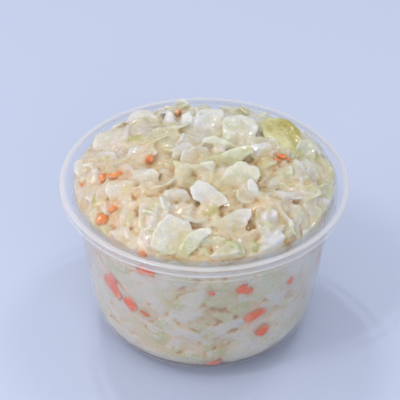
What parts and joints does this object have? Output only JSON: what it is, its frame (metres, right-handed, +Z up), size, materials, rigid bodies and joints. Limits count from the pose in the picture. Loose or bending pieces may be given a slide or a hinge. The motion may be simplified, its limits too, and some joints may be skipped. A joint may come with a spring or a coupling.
{
  "type": "cup of coleslaw",
  "caption": "Round clear plastic cup with a foot ring, a stacking ledge and a hooked lip, heaped above its rim with creamy coleslaw of cabbage flakes and carrot bits.",
  "frame": {"origin": "middle of the foot ring's flat underside, on the surface that the cup stands on", "axes": "+Z up along the cup's axis; -Y towards the side that the camera faces; +X to that view's right"},
  "size_m": [0.101, 0.101, 0.0758],
  "materials": {
    "clear_plastic": "clear injection-moulded polypropylene, glossy with a slight haze",
    "dressed_cabbage": "chopped white cabbage wet with cream dressing, ivory with warm crevices and pale green veins",
    "green_leaf": "wet yellow-green outer cabbage leaf",
    "carrot": "wet chopped carrot, orange",
    "dressing": "thick cream dressing, glossy"
  },
  "bodies": {
    "root": {"cup": "clear_plastic", "slaw": "dressed_cabbage"}
  },
  "joints": []
}
